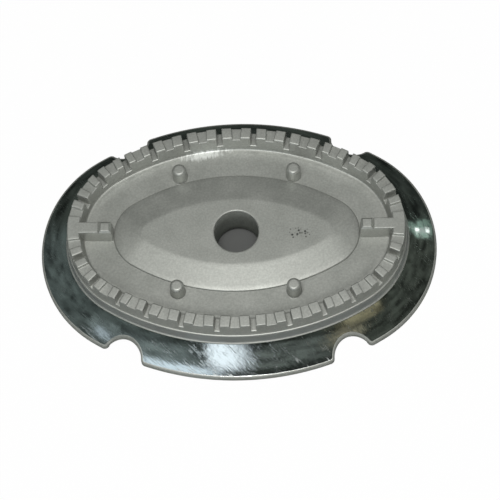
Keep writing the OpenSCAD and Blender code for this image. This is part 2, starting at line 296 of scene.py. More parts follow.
for radius, z in ((COLLAR_R + 0.3, 24.4), (COLLAR_R, 23.7), (COLLAR_R, 14.0), (COLLAR_R, COLLAR_END_Z + 0.7),
                  (COLLAR_R - 0.2, COLLAR_END_Z + 0.2), (COLLAR_R - 0.7, COLLAR_END_Z),
                  (HOLE_R + 0.5, COLLAR_END_Z), (HOLE_R + 0.15, COLLAR_END_Z + 0.15),
                  (HOLE_R, COLLAR_END_Z + 0.5), (HOLE_R, 8.0), (HOLE_R, 14.0), (HOLE_R, 20.0)):
    round_hole(radius, z)
print("rings:", len(rings), " polished bands:", finishes.count(POLISHED))

# %% [markdown]
# One quarter of each ring is mirrored to all four, in an order that runs once round the part. The
# quads wind the same way everywhere, so the normals point outwards without any repair.

# %% Mirror, join and make a mesh
def whole_ring(quarter):
    """All four quarters of a ring, from +X through +Y, -X and -Y."""
    second = quarter[-2::-1] * (-1, 1, 1)
    third = quarter[1:] * (-1, -1, 1)
    fourth = quarter[-2:0:-1] * (1, -1, 1)
    return np.concatenate([quarter, second, third, fourth])


def new_object(name, mesh, materials):
    """Puts a mesh in the scene at the origin."""
    obj = bpy.data.objects.new(name, mesh)
    bpy.context.scene.collection.objects.link(obj)
    for material in materials:
        mesh.materials.append(material)
    return obj


def smooth(mesh, angle):
    """Smooth shading, with edges sharper than the angle kept crisp."""
    mesh.shade_smooth()
    mesh.set_sharp_from_angle(angle=math.radians(angle))


def kept_flat(obj):
    """Bakes normals that keep large faces flat beside their rounded edges."""
    weighted = obj.modifiers.new("flat faces", "WEIGHTED_NORMAL")
    weighted.keep_sharp, weighted.weight = True, 100
    old = obj.data
    obj.data = bpy.data.meshes.new_from_object(obj.evaluated_get(bpy.context.evaluated_depsgraph_get()))
    obj.modifiers.clear()
    bpy.data.meshes.remove(old)


full = np.stack([whole_ring(r) for r in rings]) * MM
n_ring, n_col = full.shape[:2]
a, b = np.meshgrid(np.arange(n_ring), np.arange(n_col), indexing="ij")
a2, b2 = (a + 1) % n_ring, (b + 1) % n_col
quads = np.stack([a * n_col + b, a2 * n_col + b, a2 * n_col + b2, a * n_col + b2], -1).reshape(-1, 4)
shell_mesh = bpy.data.meshes.new("casting_skin")
shell_mesh.from_pydata(full.reshape(-1, 3).tolist(), [], quads.tolist())
shell_mesh.polygons.foreach_set("material_index", np.repeat(finishes, n_col))
print("casting skin:", len(quads), "quads, closed both ways")

# %% [markdown]
# ## Finishes
# Three finishes share one alloy. **Die cast aluminium, as cast and tumbled**: the mould's skin,
# broken up by tumbling media into a fine satin grain. Its pits scatter light as a matt surface does,
# so it is only partly metallic. It has a few pinholes where gas was trapped, painted dark as the
# shade inside them. It also has a painted highlight on the shelf at the foot of the back wall,
# standing for light bounced off that wall. The grain of real tumbled castings is about 0.2 mm and
# hardly shows here, so it is drawn at about 1 mm.

# %% Die cast aluminium, as cast and tumbled
def metal_tree(name, base, metallic):
    """A new metal, its node tree, its shader and the place on the part in metres."""
    material = bpy.data.materials.new(name)
    material.use_nodes = True
    tree = material.node_tree
    shader = tree.nodes["Principled BSDF"]
    shader.inputs["Metallic"].default_value = metallic
    shader.inputs["Base Color"].default_value = linear(base)
    where = add(tree, "ShaderNodeTexCoord").outputs["Object"]
    return material, tree, shader, where


cast, tree, shader, where = metal_tree("Die cast aluminium, as cast and tumbled", "#a9aaa5", 0.55)
cloud = add(tree, "ShaderNodeTexNoise", Vector=where, Scale=55.0, Detail=3.0, Roughness=0.55)
grain = add(tree, "ShaderNodeTexNoise", Vector=where, Scale=900.0, Detail=2.0, Roughness=0.6)
tone = add(tree, "ShaderNodeMix", {"data_type": "RGBA"}, i0=cloud.outputs["Fac"],
           i6=linear("#9a9c96"), i7=linear("#b4b5af"))
speck = add(tree, "ShaderNodeMapRange", Value=grain.outputs["Fac"], From_Min=0.35, From_Max=0.7,
            To_Min=0.88, To_Max=1.10)
grained = add(tree, "ShaderNodeVectorMath", {"operation": "SCALE"}, i0=tone.outputs[2],
              Scale=speck.outputs["Result"])

# %% Pinholes on the mound, painted dark as the shade inside them
PITS_AT, PITS_REACH = (37.0 * MM, -1.5 * MM, PLATEAU_Z * MM), (9.0 * MM, 5.5 * MM, 6.0 * MM)
cells = add(tree, "ShaderNodeTexVoronoi", {"feature": "F1"}, Vector=where, Scale=500.0)
from_pits = add(tree, "ShaderNodeMapping", {"vector_type": "TEXTURE"}, Vector=where, Location=PITS_AT,
                Scale=PITS_REACH)
away = add(tree, "ShaderNodeVectorMath", {"operation": "LENGTH"}, i0=from_pits.outputs[0])
widest = add(tree, "ShaderNodeMapRange", Value=away.outputs["Value"], From_Min=1.0, From_Max=0.6,
             To_Min=0.0, To_Max=0.46)
inside = add(tree, "ShaderNodeMath", {"operation": "SUBTRACT"}, i0=widest.outputs["Result"],
             i1=cells.outputs["Distance"])
depth = add(tree, "ShaderNodeMath", {"operation": "MULTIPLY"}, i0=inside.outputs[0],
            i1=cells.outputs["Color"])
pit = add(tree, "ShaderNodeMath", {"operation": "MULTIPLY", "use_clamp": True}, i0=depth.outputs[0], i1=6.0)
# The pits' dark colour is painted shade inside the pinholes.
pitted = add(tree, "ShaderNodeMix", {"data_type": "RGBA"}, i0=pit.outputs["Value"],
             i6=grained.outputs["Vector"], i7=linear("#3b3c3a"))

# %% Painted light on the shelf: a bright patch at the foot of the back wall, for light bounced off it, with a ragged edge
BOUNCE_AT = (-20.5 * MM, 52.0 * MM, 25.4 * MM)
BOUNCE_REACH = (15.0 * MM, 3.4 * MM, 2.2 * MM)
BOUNCE_TURN = math.radians(10)
from_bounce = add(tree, "ShaderNodeMapping", {"vector_type": "TEXTURE"}, Vector=where, Location=BOUNCE_AT,
               Rotation=(0.0, 0.0, BOUNCE_TURN), Scale=BOUNCE_REACH)
bounce_place = add(tree, "ShaderNodeVectorMath", {"operation": "LENGTH"}, i0=from_bounce.outputs[0])
bounce_streaks = add(tree, "ShaderNodeMapping", {"vector_type": "TEXTURE"}, Vector=where,
                  Scale=(1.2 * MM, 4.0 * MM, 4.0 * MM))
bounce_noise = add(tree, "ShaderNodeTexNoise", Vector=bounce_streaks.outputs[0], Scale=1.0, Detail=2.0)
bounce_edge = add(tree, "ShaderNodeMath", {"operation": "MULTIPLY_ADD"}, i0=bounce_noise.outputs["Fac"], i1=2.0,
               i2=bounce_place.outputs["Value"])
painted_bounce_light = add(tree, "ShaderNodeMapRange", Value=bounce_edge.outputs[0], From_Min=2.05, From_Max=1.35,
             To_Max=0.75)
# The base colour is lightened towards near white here: a painted highlight of light bounced off the back
# wall.
bright = add(tree, "ShaderNodeMix", {"data_type": "RGBA"}, i0=painted_bounce_light.outputs["Result"], i6=pitted.outputs[2],
             i7=linear("#eceeea"))
tree.links.new(bright.outputs[2], shader.inputs["Base Color"])

# %% Roughness and grain of the cast skin
satin = add(tree, "ShaderNodeMapRange", Value=cloud.outputs["Fac"], From_Min=0.3, From_Max=0.7,
            To_Min=0.38, To_Max=0.48)
tree.links.new(satin.outputs["Result"], shader.inputs["Roughness"])
skin = add(tree, "ShaderNodeBump", Strength=0.5, Distance=0.05 * MM, Height=grain.outputs["Fac"])
hollows = add(tree, "ShaderNodeBump", Strength=0.35, Distance=0.25 * MM, Height=cloud.outputs["Fac"],
              Normal=skin.outputs["Normal"])
tree.links.new(hollows.outputs["Normal"], shader.inputs["Normal"])

# %% [markdown]
# **Belt polished aluminium**: the skirt, polished on a soft belt until it mirrors. The belt leaves
# fine lines the way it ran, in patches where it pressed harder, and the metal is a little uneven, so
# what it mirrors is drawn out and wavy. **Brushed aluminium**: the neck, which the belt
# cannot reach, is only evened with a brush. Both are one recipe with different depths.

# %% Belt polished and brushed aluminium
BELT_TURN = math.radians(-42)


def belt_marks(tree, where, length, width, detail):
    """Noise drawn out along the way the belt ran, with marks of this length and width in metres."""
    turned = add(tree, "ShaderNodeMapping", {"vector_type": "TEXTURE"}, Vector=where,
                 Rotation=(0.0, 0.0, BELT_TURN), Scale=(length, width, width * 2))
    return add(tree, "ShaderNodeTexNoise", Vector=turned.outputs["Vector"], Scale=1.0, Detail=detail,
               Roughness=0.6).outputs["Fac"]


def belt_metal(name, base, metallic, rough_low, rough_high, mark_depth, wave_depth):
    """A metal with belt lines. The belt pressed less at the right end, so its lines fade there."""
    material, tree, shader, where = metal_tree(name, base, metallic)
    broad = belt_marks(tree, where, 22 * MM, 5 * MM, 2.0)
    fine = belt_marks(tree, where, 8 * MM, 1 * MM, 3.0)
    haze = add(tree, "ShaderNodeTexNoise", Vector=where, Scale=70.0, Detail=3.0).outputs["Fac"]
    scratched = add(tree, "ShaderNodeMapRange", Value=fine, From_Min=0.48, From_Max=0.68).outputs["Result"]
    in_patches = add(tree, "ShaderNodeMapRange", Value=broad, From_Min=0.42, From_Max=0.62).outputs["Result"]
    worn = add(tree, "ShaderNodeMath", {"operation": "MULTIPLY"}, i0=scratched, i1=in_patches)
    rough = add(tree, "ShaderNodeMapRange", Value=worn.outputs[0], To_Min=rough_low, To_Max=rough_high)
    tree.links.new(rough.outputs["Result"], shader.inputs["Roughness"])
    wave = add(tree, "ShaderNodeBump", Strength=0.5, Distance=wave_depth, Height=haze)
    along = add(tree, "ShaderNodeSeparateXYZ", Vector=where).outputs["X"]
    pressed = add(tree, "ShaderNodeMapRange", Value=along, From_Min=75 * MM, From_Max=100 * MM, To_Min=0.6,
                  To_Max=0.15).outputs["Result"]
    lines = add(tree, "ShaderNodeBump", Strength=pressed, Distance=mark_depth, Height=fine,
                Normal=wave.outputs["Normal"])
    tree.links.new(lines.outputs["Normal"], shader.inputs["Normal"])
    return material


shiny = belt_metal("Belt polished aluminium", "#c4c7c6", 1.0, 0.09, 0.44, 0.07 * MM, 0.4 * MM)
brushed = belt_metal("Brushed aluminium", "#c8cac8", 0.8, 0.28, 0.36, 0.0, 0.05 * MM)
print("finishes:", cast.name, "|", shiny.name, "|", brushed.name)

# %% Give the skin its finishes
casting_skin = new_object("casting_skin", shell_mesh, (cast, shiny, brushed))
smooth(shell_mesh, 34)

# %% [markdown]
# ## The crown blocks
# The crown is what makes this part a burner: 24 blocks with a main slot between each two, and a
# shallow wedge port through the top of each block. The blocks repeat along the oval, so one straight
# block of each length is made and Geometry Nodes do the rest: they work out how far along the crown
# each block stands, place it on a straight line, and bend that line onto the oval.

# %% Sizes of the crown
CROWN_MID_R, CROWN_W = 46.4, 7.2
SIDE_PITCH, END_PORT_AT = 20.8, 10.2
SLOT_HALF, SLOT_OPEN_HALF = 1.5, 1.65
PORT_IN_W, PORT_OUT_W, PORT_DEPTH = 4.4, 6.1, 2.0
SIDE_SLOTS, CORNER_SLOTS = 3, 3
SINK, PROUD = 1.0, 0.02
side_run = (CROWN_MID_R + REACH) * (math.pi / 2 - SWITCH)
quarter_run = side_run + CROWN_MID_R * SWITCH
slot_run = (SIDE_SLOTS - 0.5) * SIDE_PITCH
corner_pitch = (quarter_run - END_PORT_AT - slot_run) / (CORNER_SLOTS + 0.5)
end_length = 2 * (quarter_run - slot_run - CORNER_SLOTS * corner_pitch)
print("block lengths in mm: side %.1f, corner %.1f, end %.1f" % (SIDE_PITCH, corner_pitch, end_length))

# %% Straight blocks
def block_mesh(name, pitch, ports, bend_r):
    """One straight block. Its walls are drawn so that they come out parallel once it is bent."""
    bm = bmesh.new()
    weight = bm.edges.layers.float.new("bevel_weight_edge")
    base_z, port_z = SILL_Z - SINK, CROWN_Z - PORT_DEPTH
    sides = {}
    for side in (-1, 1):
        y_top = side * (CROWN_W / 2 + PROUD)
        widen = bend_r / (bend_r + y_top)
        port_half = (PORT_IN_W if side < 0 else PORT_OUT_W) / 2 * widen
        lean = (1.2 / 10.7 if side < 0 else 0.5 / 10.8)
        outline = [(-pitch / 2 + SLOT_HALF * widen, base_z),
                   (-pitch / 2 + SLOT_OPEN_HALF * widen, CROWN_Z)]
        for at in ports:
            at *= widen if len(ports) == 1 else 1
            outline += [(at - port_half, CROWN_Z), (at - port_half, port_z),
                        (at + port_half, port_z), (at + port_half, CROWN_Z)]
        outline += [(-x, z) for x, z in outline[1::-1]]
        sides[side] = [bm.verts.new((x * MM, (y_top + side * lean * (CROWN_Z - z)) * MM, z * MM))
                       for x, z in outline]
    inner, outer = sides[-1], sides[1]
    bm.faces.new(inner)
    bm.faces.new(outer[::-1])
    count = len(inner)
    for i in range(count):
        bm.faces.new((inner[(i + 1) % count], inner[i], outer[i], outer[(i + 1) % count]))
    bmesh.ops.recalc_face_normals(bm, faces=bm.faces)
    for e in bm.edges:
        z = [v.co.z / MM for v in e.verts]
        y = [v.co.y for v in e.verts]
        if max(z) < base_z + 0.1:
            e[weight] = 0.0
        elif min(y) * max(y) < 0:      # runs across the crown
            e[weight] = 0.55 if min(z) > CROWN_Z - 0.1 else 0.3
        elif min(y) > 0:               # outer side
            e[weight] = 0.55 if min(z) > CROWN_Z - 0.1 else 0.3
        else:                          # inner side
            e[weight] = 0.85 if min(z) > CROWN_Z - 0.1 or z[0] != z[1] else 0.4
    mesh = bpy.data.meshes.new(name)
    bm.to_mesh(mesh)
    bm.free()
    raw = new_object(name + "_raw", mesh, ())
    bevel = raw.modifiers.new("rounded edges", "BEVEL")
    bevel.limit_method, bevel.width, bevel.segments = "WEIGHT", 1.0 * MM, 3
    done = bpy.data.meshes.new_from_object(raw.evaluated_get(bpy.context.evaluated_depsgraph_get()))
    bpy.data.objects.remove(raw)
    bm = bmesh.new()
    bm.from_mesh(done)
    for x in np.arange(-math.floor(pitch / 4) * 2, pitch / 2, 2.0):
        everything = bm.verts[:] + bm.edges[:] + bm.faces[:]
        bmesh.ops.bisect_plane(bm, geom=everything, plane_co=((x + 0.37) * MM, 0, 0), plane_no=(1, 0, 0),
                               dist=1e-7)
    bm.to_mesh(done)
    bm.free()
    return new_object(name, done, ())


side_block = block_mesh("side_block", SIDE_PITCH, (0.0,), CROWN_MID_R + REACH)
corner_block = block_mesh("corner_block", corner_pitch, (0.0,), CROWN_MID_R)
end_block = block_mesh("end_block", end_length, (-END_PORT_AT, END_PORT_AT), CROWN_MID_R)

# %% The line that the crown follows, clockwise from the middle of the back
line_data = bpy.data.curves.new("crown_line", "CURVE")
line_data.dimensions = "3D"
spline = line_data.splines.new("POLY")
line_psi = np.linspace(math.pi / 2, math.pi / 2 - 2 * math.pi, 1440, endpoint=False)
line_points = oval(line_psi, CROWN_MID_R) * MM
spline.points.add(len(line_points) - 1)
spline.points.foreach_set("co", np.column_stack([line_points, np.zeros(len(line_points)),
                                                 np.ones(len(line_points))]).ravel())
spline.use_cyclic_u = True
crown_line = bpy.data.objects.new("crown_line", line_data)
bpy.context.scene.collection.objects.link(crown_line)

# %% [markdown]
# The tree numbers 24 points. Within a half turn the number k counts blocks away from the nearer
# long side's middle: 0 to 2 stand on the side pitch, 3 to 5 on the corner pitch, and 6 is the end
# block. After the instances are made real, every vertex is looked up on the line by its x, moved
# out by its y and up by its z.

# %% Geometry Nodes tree of the crown
crown_tree = bpy.data.node_groups.new("crown of blocks", "GeometryNodeTree")
sockets = {}
for label, kind in (("Side Block", "NodeSocketObject"), ("Corner Block", "NodeSocketObject"),
                    ("End Block", "NodeSocketObject"), ("Line", "NodeSocketObject"),
                    ("Side Pitch", "NodeSocketFloat"), ("Corner Pitch", "NodeSocketFloat"),
                    ("Quarter Run", "NodeSocketFloat"), ("Metal", "NodeSocketMaterial")):
    sockets[label] = crown_tree.interface.new_socket(label, in_out="INPUT", socket_type=kind)
crown_tree.interface.new_socket("Geometry", in_out="OUTPUT", socket_type="NodeSocketGeometry")
given = add(crown_tree, "NodeGroupInput").outputs
BLOCK_COUNT = 24
HALF_COUNT, LAST_SIDE, LAST_CORNER = 12.0, 2.5, 5.5


def calc(operation, x, y):
    """One step of arithmetic in the crown's tree."""
    return add(crown_tree, "ShaderNodeMath", {"operation": operation}, i0=x, i1=y).outputs[0]


def choose(when, yes, no):
    """yes where when is 1, and no where it is 0."""
    return calc("ADD", calc("MULTIPLY", no, calc("SUBTRACT", 1.0, when)), calc("MULTIPLY", yes, when))


points = add(crown_tree, "GeometryNodePoints", Count=BLOCK_COUNT)
number = add(crown_tree, "GeometryNodeInputIndex").outputs[0]
in_half = calc("MODULO", number, HALF_COUNT)
k = calc("MINIMUM", in_half, calc("SUBTRACT", HALF_COUNT, in_half))
on_corner = calc("GREATER_THAN", k, LAST_SIDE)
at_end = calc("GREATER_THAN", k, LAST_CORNER)
side_part = calc("MULTIPLY", calc("MINIMUM", k, LAST_SIDE), given["Side Pitch"])
past_sides = calc("MAXIMUM", calc("SUBTRACT", k, LAST_SIDE), 0.0)
corner_part = calc("MULTIPLY", past_sides, given["Corner Pitch"])
along = choose(at_end, given["Quarter Run"], calc("ADD", side_part, corner_part))
half_turn = calc("MULTIPLY", given["Quarter Run"], 2.0)
past_end = calc("GREATER_THAN", in_half, HALF_COUNT / 2)
along = choose(past_end, calc("SUBTRACT", half_turn, along), along)
second_half = calc("GREATER_THAN", number, HALF_COUNT - 0.5)
along = calc("ADD", along, calc("MULTIPLY", second_half, half_turn))
spot = add(crown_tree, "ShaderNodeCombineXYZ", X=along).outputs[0]
placed = add(crown_tree, "GeometryNodeSetPosition", Geometry=points.outputs[0], Position=spot).outputs[0]

# %% Put a block on each point and bend the row onto the oval
everything = add(crown_tree, "GeometryNodeJoinGeometry")
corner_only = calc("SUBTRACT", on_corner, at_end)
side_only = calc("SUBTRACT", 1.0, on_corner)
for label, chosen in (("Side Block", side_only), ("Corner Block", corner_only), ("End Block", at_end)):
    source = add(crown_tree, "GeometryNodeObjectInfo", Object=given[label])
    copies = add(crown_tree, "GeometryNodeInstanceOnPoints", Points=placed, Selection=chosen,
                 Instance=source.outputs["Geometry"])
    crown_tree.links.new(copies.outputs[0], everything.inputs[0])
real = add(crown_tree, "GeometryNodeRealizeInstances", Geometry=everything.outputs[0]).outputs[0]
position = add(crown_tree, "GeometryNodeInputPosition").outputs[0]
here = add(crown_tree, "ShaderNodeSeparateXYZ", Vector=position)
lap = calc("FLOORED_MODULO", here.outputs["X"], calc("MULTIPLY", half_turn, 2.0))
guide = add(crown_tree, "GeometryNodeObjectInfo", Object=given["Line"])
sample = add(crown_tree, "GeometryNodeSampleCurve", {"mode": "LENGTH"}, Curves=guide.outputs["Geometry"],
             Length=lap)
outward = add(crown_tree, "ShaderNodeVectorMath", {"operation": "CROSS_PRODUCT"}, i0=(0.0, 0.0, 1.0),
              i1=sample.outputs["Tangent"])
shifted = add(crown_tree, "ShaderNodeVectorMath", {"operation": "SCALE"}, i0=outward.outputs[0],
              Scale=here.outputs["Y"])
lifted = add(crown_tree, "ShaderNodeCombineXYZ", Z=here.outputs["Z"])
bent = add(crown_tree, "ShaderNodeVectorMath", {"operation": "ADD"}, i0=sample.outputs["Position"],
           i1=shifted.outputs[0])
bent = add(crown_tree, "ShaderNodeVectorMath", {"operation": "ADD"}, i0=bent.outputs[0], i1=lifted.outputs[0])
moved = add(crown_tree, "GeometryNodeSetPosition", Geometry=real, Position=bent.outputs[0])
painted = add(crown_tree, "GeometryNodeSetMaterial", Geometry=moved.outputs[0], Material=given["Metal"])
add(crown_tree, "NodeGroupOutput", Geometry=painted.outputs[0])


# %% Run a tree and keep the result as a plain mesh
def grown(name, tree, sockets, values, materials):
    """Runs a Geometry Nodes tree on an empty mesh and returns what it makes as a plain object."""
    holder = new_object(name + "_holder", bpy.data.meshes.new(name + "_holder"), ())
    modifier = holder.modifiers.new(tree.name, "NODES")
    modifier.node_group = tree
    for label, value in values.items():
        modifier[sockets[label].identifier] = value
    evaluated = holder.evaluated_get(bpy.context.evaluated_depsgraph_get())
    mesh = bpy.data.meshes.new_from_object(evaluated)
    mesh.name = name
    bpy.data.objects.remove(holder)
    mesh.materials.clear()
    return new_object(name, mesh, materials)


crown_blocks = grown("crown_blocks", crown_tree, sockets, {
    "Side Block": side_block, "Corner Block": corner_block, "End Block": end_block, "Line": crown_line,
    "Side Pitch": SIDE_PITCH * MM, "Corner Pitch": corner_pitch * MM, "Quarter Run": quarter_run * MM,
    "Metal": cast}, (cast,))
smooth(crown_blocks.data, 40)
kept_flat(crown_blocks)
for helper in (side_block, corner_block, end_block, crown_line):
    bpy.data.objects.remove(helper)
print("crown blocks:", len(crown_blocks.data.polygons), "faces")

# %% [markdown]
# ## Posts and bridges
# Four round posts stand on the shelf, at the corners of a rectangle, to locate the burner cap. A
# post is turned from its profile and set on the four points of a grid. Its head is well rounded, and
# its foot ends below the shelf, so that it stands in the metal and not on it.

# %% Four round posts
POST_R, POST_Z, POST_EDGE, POST_LEAN = 4.2, 35.6, 1.9, 0.15
POST_AT = (34.25, 37.5)
BURIED_Z = SHELF_Z - 0.6
head_r, foot_r = POST_R - POST_EDGE, POST_R + POST_LEAN
profile = [(0.0, POST_Z), (head_r, POST_Z)]
profile += [(head_r + POST_EDGE * math.sin(a), POST_Z - POST_EDGE + POST_EDGE * math.cos(a))
            for a in np.linspace(0.15, math.pi / 2, 8)]
profile += [(foot_r, SHELF_Z + 0.5), (foot_r + 0.12, SHELF_Z + 0.15), (foot_r + 0.45, SHELF_Z - 0.05),
            (foot_r, BURIED_Z), (0.0, BURIED_Z)]
bm = bmesh.new()
chain_of = [bm.verts.new((x * MM, 0, z * MM)) for x, z in profile]
edges = [bm.edges.new(pair) for pair in zip(chain_of, chain_of[1:])]
bmesh.ops.spin(bm, geom=chain_of + edges, cent=(0, 0, 0), axis=(0, 0, 1), angle=math.tau, steps=40,
               use_merge=True)
bmesh.ops.remove_doubles(bm, verts=bm.verts, dist=1e-6)
bmesh.ops.recalc_face_normals(bm, faces=bm.faces)
post_mesh = bpy.data.meshes.new("one_post")
bm.to_mesh(post_mesh)
bm.free()
one_post = new_object("one_post", post_mesh, ())

post_tree = bpy.data.node_groups.new("four posts", "GeometryNodeTree")
post_sockets = {}
for label, kind in (("Post", "NodeSocketObject"), ("Span X", "NodeSocketFloat"),
                    ("Span Y", "NodeSocketFloat"), ("Metal", "NodeSocketMaterial")):
    post_sockets[label] = post_tree.interface.new_socket(label, in_out="INPUT", socket_type=kind)
post_tree.interface.new_socket("Geometry", in_out="OUTPUT", socket_type="NodeSocketGeometry")
given = add(post_tree, "NodeGroupInput").outputs
corners = add(post_tree, "GeometryNodeMeshGrid", Size_X=given["Span X"], Size_Y=given["Span Y"],
              Vertices_X=2, Vertices_Y=2)
source = add(post_tree, "GeometryNodeObjectInfo", Object=given["Post"])
copies = add(post_tree, "GeometryNodeInstanceOnPoints", Points=corners.outputs["Mesh"],
             Instance=source.outputs["Geometry"])
real = add(post_tree, "GeometryNodeRealizeInstances", Geometry=copies.outputs[0])
painted = add(post_tree, "GeometryNodeSetMaterial", Geometry=real.outputs[0], Material=given["Metal"])
add(post_tree, "NodeGroupOutput", Geometry=painted.outputs[0])
round_posts = grown("round_posts", post_tree, post_sockets, {
    "Post": one_post, "Span X": 2 * POST_AT[0] * MM, "Span Y": 2 * POST_AT[1] * MM, "Metal": cast}, (cast,))
smooth(round_posts.data, 40)
kept_flat(round_posts)
bpy.data.objects.remove(one_post)
print("round posts:", len(round_posts.data.polygons), "faces")

# %% [markdown]
# Across each end a bridge joins the crown to a square post with a chamfered head. Both are tapered
# boxes with softened edges. A shallow groove parts the bridge's top from the post, and draws the thin
# dark line that the mould leaves there. Their normals are weighted by face, as on the crown and the
# round posts, so the large faces stay flat in the light and only the edges catch it.

# %% Bridges with square posts
def tapered_box(bm, layers):
    """A closed stack of rectangles. A layer is (x low, x high, half y, z), from the foot up."""
    stack = []
    for x0, x1, half, z in layers:
        stack.append([bm.verts.new((x * MM, y * MM, z * MM))
                      for x, y in ((x0, -half), (x1, -half), (x1, half), (x0, half))])
    bm.faces.new(stack[0][::-1])
    bm.faces.new(stack[-1])
    for low, high in zip(stack, stack[1:]):
        for i in range(4):
            bm.faces.new((low[i], low[(i + 1) % 4], high[(i + 1) % 4], high[i]))


BRIDGE_HALF, BRIDGE_LEAN, BRIDGE_TOP_Z = 3.5, 0.45, CROWN_Z + 0.02
SQUARE_HALF, SQUARE_TOP_Z, SQUARE_EDGE, GROOVE = 3.6, 37.1, 1.2, 0.7
SQUARE_X = END_X + MOUND_R + 0.6 + SQUARE_HALF
bm = bmesh.new()
weight = bm.edges.layers.float.new("bevel_weight_edge")
for side in (-1, 1):
    x_in, x_out = SQUARE_X + SQUARE_HALF - 0.02, END_X + CROWN_MID_R
    wide = SQUARE_HALF + BRIDGE_LEAN
    tapered_box(bm, [(side * a, side * b, half, z) if side > 0 else (side * b, side * a, half, z)
                     for a, b, half, z in ((x_in, x_out, BRIDGE_HALF + BRIDGE_LEAN, BURIED_Z),
                                           (x_in, x_out, BRIDGE_HALF + 0.03, BRIDGE_TOP_Z - GROOVE),
                                           (x_in + GROOVE, x_out, BRIDGE_HALF, BRIDGE_TOP_Z))])
    c = side * SQUARE_X
    top = SQUARE_HALF - SQUARE_EDGE
    tapered_box(bm, [(c - wide, c + wide, wide, BURIED_Z),
                     (c - SQUARE_HALF, c + SQUARE_HALF, SQUARE_HALF, SQUARE_TOP_Z - SQUARE_EDGE),
                     (c - top, c + top, top, SQUARE_TOP_Z)])
bmesh.ops.recalc_face_normals(bm, faces=bm.faces)
for e in bm.edges:
    z = [v.co.z / MM for v in e.verts]
    across = abs(e.verts[0].co.x - e.verts[1].co.x) < MM
    on_bridge = abs(max(z) - BRIDGE_TOP_Z) < 0.01
    if max(z) > BRIDGE_TOP_Z - 0.7 or abs(z[0] - z[1]) > 5:
        e[weight] = (0.1 if across else 0.55) if on_bridge else 0.2
bridge_mesh = bpy.data.meshes.new("bridges")
bm.to_mesh(bridge_mesh)
bm.free()
rough_bridges = new_object("bridges_raw", bridge_mesh, ())
bevel = rough_bridges.modifiers.new("rounded edges", "BEVEL")
bevel.limit_method, bevel.width, bevel.segments = "WEIGHT", 1.0 * MM, 3
bridge_mesh = bpy.data.meshes.new_from_object(
    rough_bridges.evaluated_get(bpy.context.evaluated_depsgraph_get()))
bpy.data.objects.remove(rough_bridges)
bridges = new_object("bridges", bridge_mesh, (cast,))
smooth(bridge_mesh, 40)
kept_flat(bridges)
print("bridges:", len(bridges.data.polygons), "faces")

# %% [markdown]
# ## Studio
# The part lies on matt white paper. The paper and the sky are white to the camera and in
# reflections, whatever light falls on them. Close under the part the paper is plain, without that
# glow, so it keeps the part's shadow. Below the gas hole the paper's colour is painted dark grey as
# painted shade, where the real hole shows dark.

# %% Floor
FLOOR_REACH = 3.0
scene = bpy.context.scene


def white_to_rays(tree):
    """1 for camera, glossy and transmission rays, else 0."""
    path = add(tree, "ShaderNodeLightPath").outputs
    seen = add(tree, "ShaderNodeMath", {"operation": "MAXIMUM"}, i0=path["Is Camera Ray"],
               i1=path["Is Glossy Ray"]).outputs[0]
    return add(tree, "ShaderNodeMath", {"operation": "MAXIMUM"}, i0=seen,
               i1=path["Is Transmission Ray"]).outputs[0]


floor_material = bpy.data.materials.new("White paper, matt")
floor_material.use_nodes = True
floor_material.cycles.emission_sampling = "NONE"
tree = floor_material.node_tree
paper = tree.nodes["Principled BSDF"]
paper.inputs["Roughness"].default_value = 0.9
glow = add(tree, "ShaderNodeEmission", Color=linear("#ffffff"), Strength=1.0)
where = add(tree, "ShaderNodeTexCoord").outputs["Object"]
squeezed = add(tree, "ShaderNodeVectorMath", {"operation": "MULTIPLY"}, i0=where, i1=(0.7, 1.0, 1.0))
middle = add(tree, "ShaderNodeVectorMath", {"operation": "LENGTH"}, i0=squeezed.outputs[0])
clear = add(tree, "ShaderNodeMapRange", Value=middle.outputs["Value"], From_Min=0.060, From_Max=0.068,
            To_Min=0.0, To_Max=0.98)
# Painted shade: the paper's colour turns dark grey below the gas hole.
shade = add(tree, "ShaderNodeMapRange", Value=middle.outputs["Value"], From_Min=0.030, From_Max=0.045,
            To_Min=0.0, To_Max=1.0)
tone = add(tree, "ShaderNodeMix", {"data_type": "RGBA"}, i0=shade.outputs["Result"], i6=linear("#6c6d6b"),
           i7=linear("#e9e9e7"))
tree.links.new(tone.outputs[2], paper.inputs["Base Color"])
share = add(tree, "ShaderNodeMath", {"operation": "MULTIPLY"}, i0=clear.outputs["Result"],
            i1=white_to_rays(tree))
mixed = add(tree, "ShaderNodeMixShader", i0=share.outputs[0], i1=paper.outputs[0], i2=glow.outputs[0])
tree.links.new(mixed.outputs[0], tree.nodes["Material Output"].inputs["Surface"])
bm = bmesh.new()
bmesh.ops.create_circle(bm, cap_ends=True, segments=96, radius=FLOOR_REACH)
floor_mesh = bpy.data.meshes.new("floor")
bm.to_mesh(floor_mesh)
bm.free()
floor_mesh.transform(Matrix.Translation((0, 0, -0.1 * MM)))
floor = new_object("floor", floor_mesh, (floor_material,))

# %% [markdown]
# The sky lights the part softly. It is brighter behind the camera, brightest low in front, where it
# lifts the walls that face the viewer, and dim on the left, which leaves that side its shadows.

